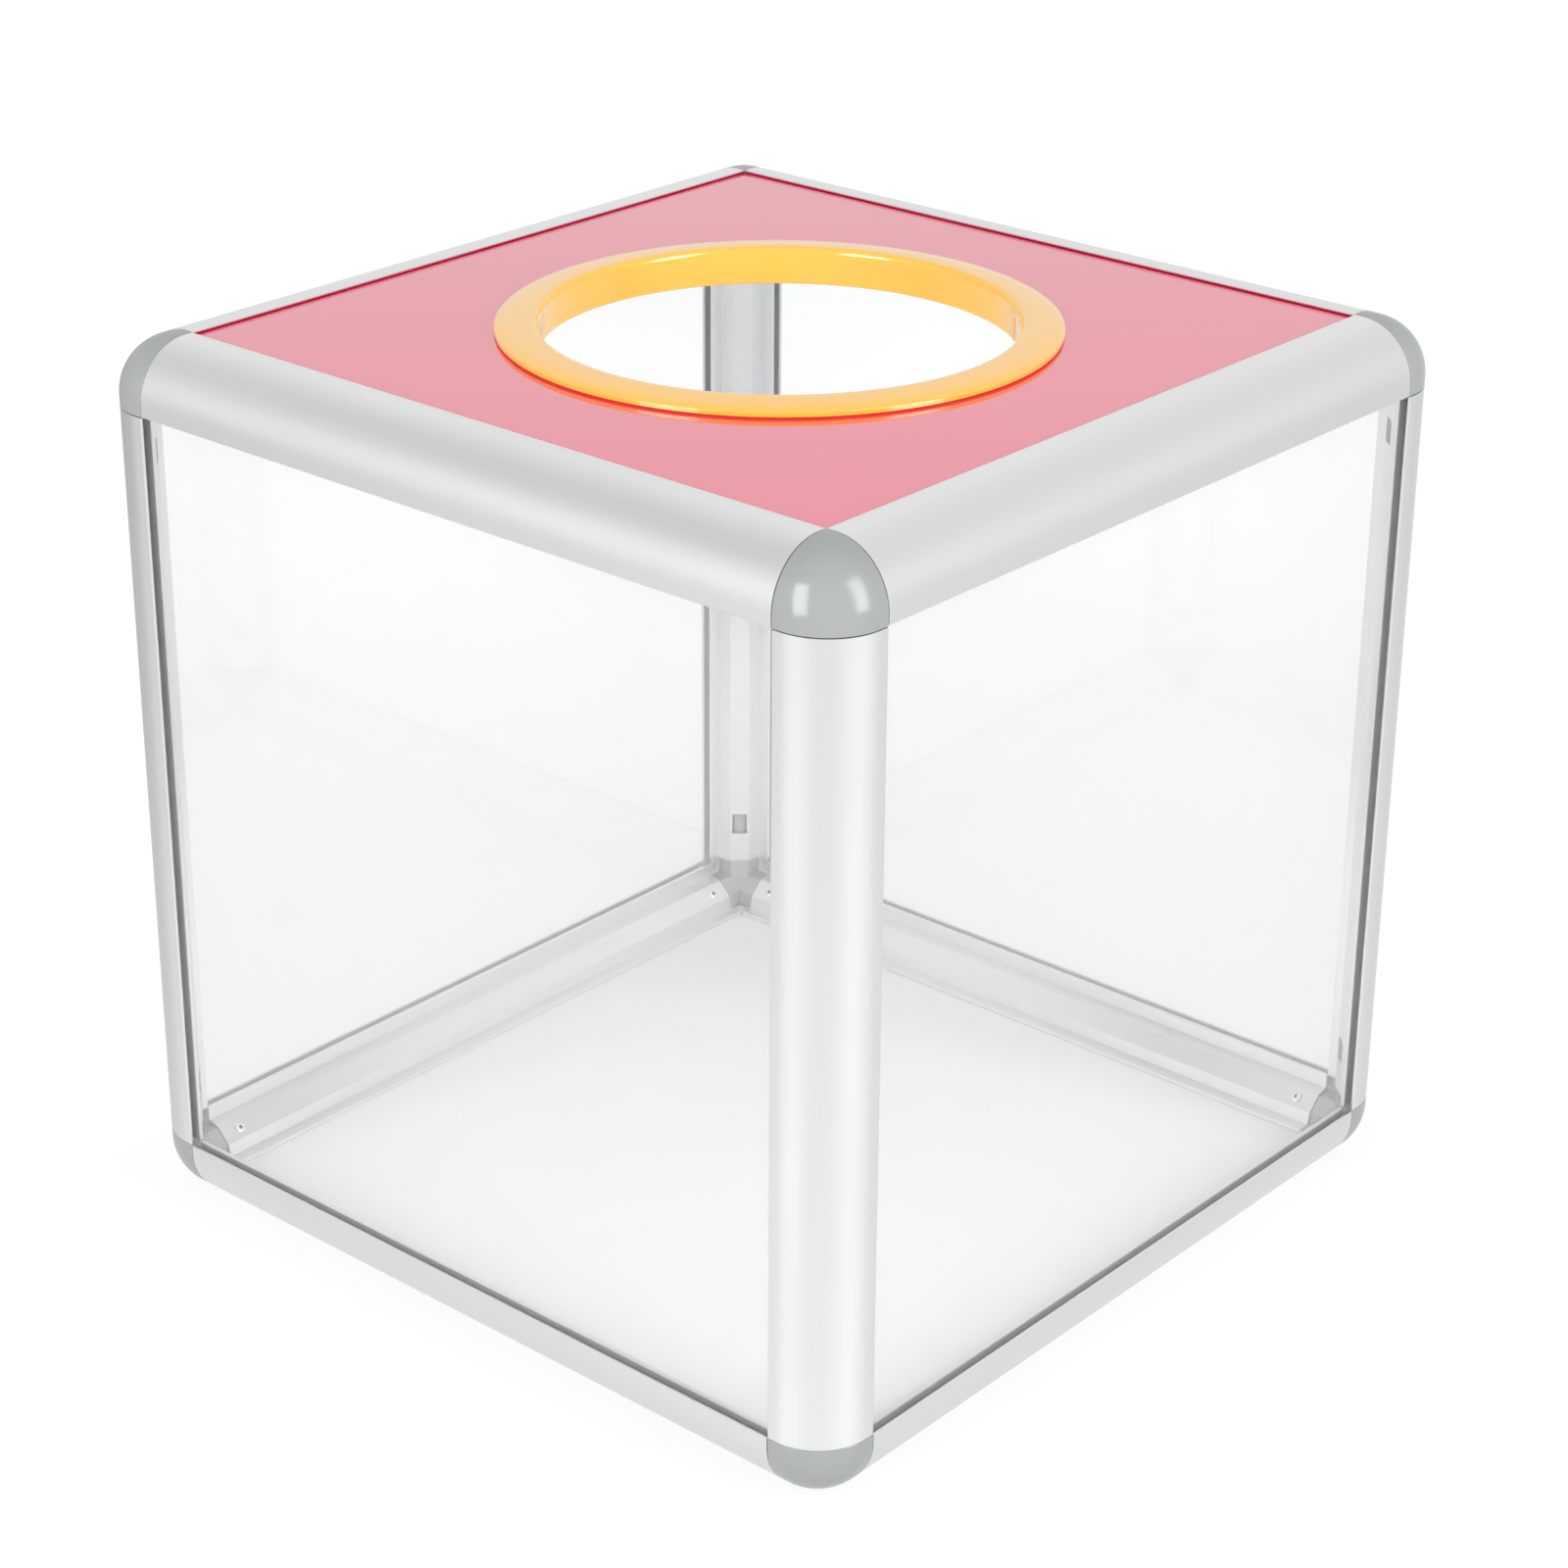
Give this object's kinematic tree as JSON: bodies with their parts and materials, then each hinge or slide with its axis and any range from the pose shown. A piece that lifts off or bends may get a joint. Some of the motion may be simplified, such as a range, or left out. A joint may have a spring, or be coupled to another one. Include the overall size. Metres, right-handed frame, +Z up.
{
  "type": "raffle box",
  "caption": "Cube-shaped raffle box with an aluminium frame, clear walls and a round hand hole in its lid; the lid frame lifts off.",
  "frame": {"origin": "middle of the underside, on the surface that the box stands on", "axes": "+Z up through the hand hole, -Y out of the front wall, +X out of the right wall"},
  "size_m": [0.2, 0.2, 0.2016],
  "materials": {
    "aluminium": "satin anodised, fine lengthwise drawing lines",
    "rivet_metal": "smooth, bright",
    "grey_plastic": "glossy moulded grey",
    "clear_acrylic": "clear polished acrylic",
    "red_acrylic": "glossy opaque red above, white underside",
    "white_board": "opaque white",
    "yellow_plastic": "glossy, slightly translucent yellow orange"
  },
  "bodies": {
    "base_frame": {"post_front_left": "aluminium", "post_front_right": "aluminium", "post_back_left": "aluminium", "post_back_right": "aluminium", "bottom_rail_front": "aluminium", "bottom_rail_back": "aluminium", "bottom_rail_left": "aluminium", "bottom_rail_right": "aluminium", "bottom_corner_front_left": "grey_plastic", "bottom_corner_front_right": "grey_plastic", "bottom_corner_back_left": "grey_plastic", "bottom_corner_back_right": "grey_plastic", "side_panel_front": "clear_acrylic", "side_panel_back": "clear_acrylic", "side_panel_left": "clear_acrylic", "side_panel_right": "clear_acrylic", "bottom_panel": "white_board", "bottom_rivet_front_1": "rivet_metal", "bottom_rivet_front_2": "rivet_metal", "bottom_rivet_back_1": "rivet_metal", "bottom_rivet_back_2": "rivet_metal", "bottom_rivet_left_1": "rivet_metal", "bottom_rivet_left_2": "rivet_metal", "bottom_rivet_right_1": "rivet_metal", "bottom_rivet_right_2": "rivet_metal"},
    "top_frame": {"top_rail_front": "aluminium", "top_rail_back": "aluminium", "top_rail_left": "aluminium", "top_rail_right": "aluminium", "top_corner_front_left": "grey_plastic", "top_corner_front_right": "grey_plastic", "top_corner_back_left": "grey_plastic", "top_corner_back_right": "grey_plastic", "top_panel": "red_acrylic", "hand_hole_ring": "yellow_plastic", "top_rivet_front_1": "rivet_metal", "top_rivet_front_2": "rivet_metal", "top_rivet_back_1": "rivet_metal", "top_rivet_back_2": "rivet_metal", "top_rivet_left_1": "rivet_metal", "top_rivet_left_2": "rivet_metal", "top_rivet_right_1": "rivet_metal", "top_rivet_right_2": "rivet_metal"}
  },
  "joints": [
    {"name": "top_frame_lift", "type": "slide", "parent": "base_frame", "child": "top_frame", "axis": [0, 0, 1], "range_m": [0, 0.06]}
  ]
}
